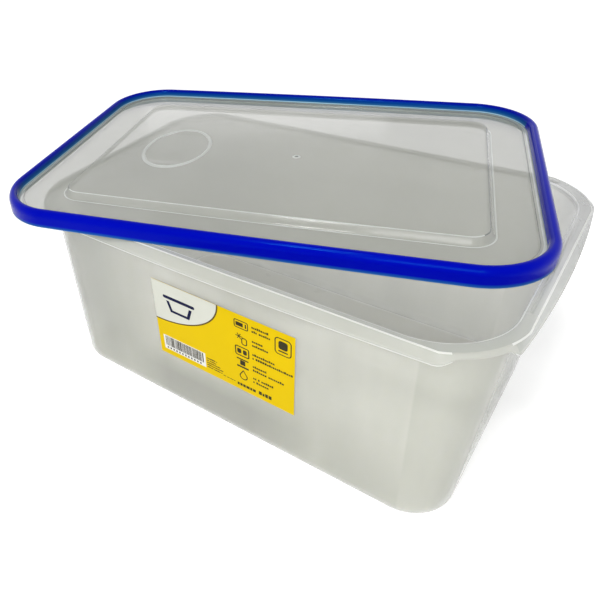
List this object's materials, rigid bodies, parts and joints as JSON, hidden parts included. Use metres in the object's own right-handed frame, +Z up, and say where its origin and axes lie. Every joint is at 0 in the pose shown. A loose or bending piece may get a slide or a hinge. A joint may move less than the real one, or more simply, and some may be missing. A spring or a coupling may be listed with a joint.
{
  "type": "plastic food container",
  "caption": "Rectangular clear plastic food tub with a printed label on its front, and its blue-edged clear lid lying loose and askew across the top.",
  "frame": {"origin": "centre of the tub's flat underside, on the surface it stands on", "axes": "+X along the tub's long side, +Y to the back away from the label, +Z up"},
  "size_m": [0.3347, 0.2734, 0.1325],
  "materials": {
    "tub_plastic": "satin",
    "lid_plastic": "gloss",
    "seal_plastic": "gloss",
    "label_paper": "satin"
  },
  "bodies": {
    "root": {"tub": "tub_plastic", "lid_panel": "lid_plastic", "lid_seal": "seal_plastic", "label": "label_paper"}
  },
  "joints": []
}
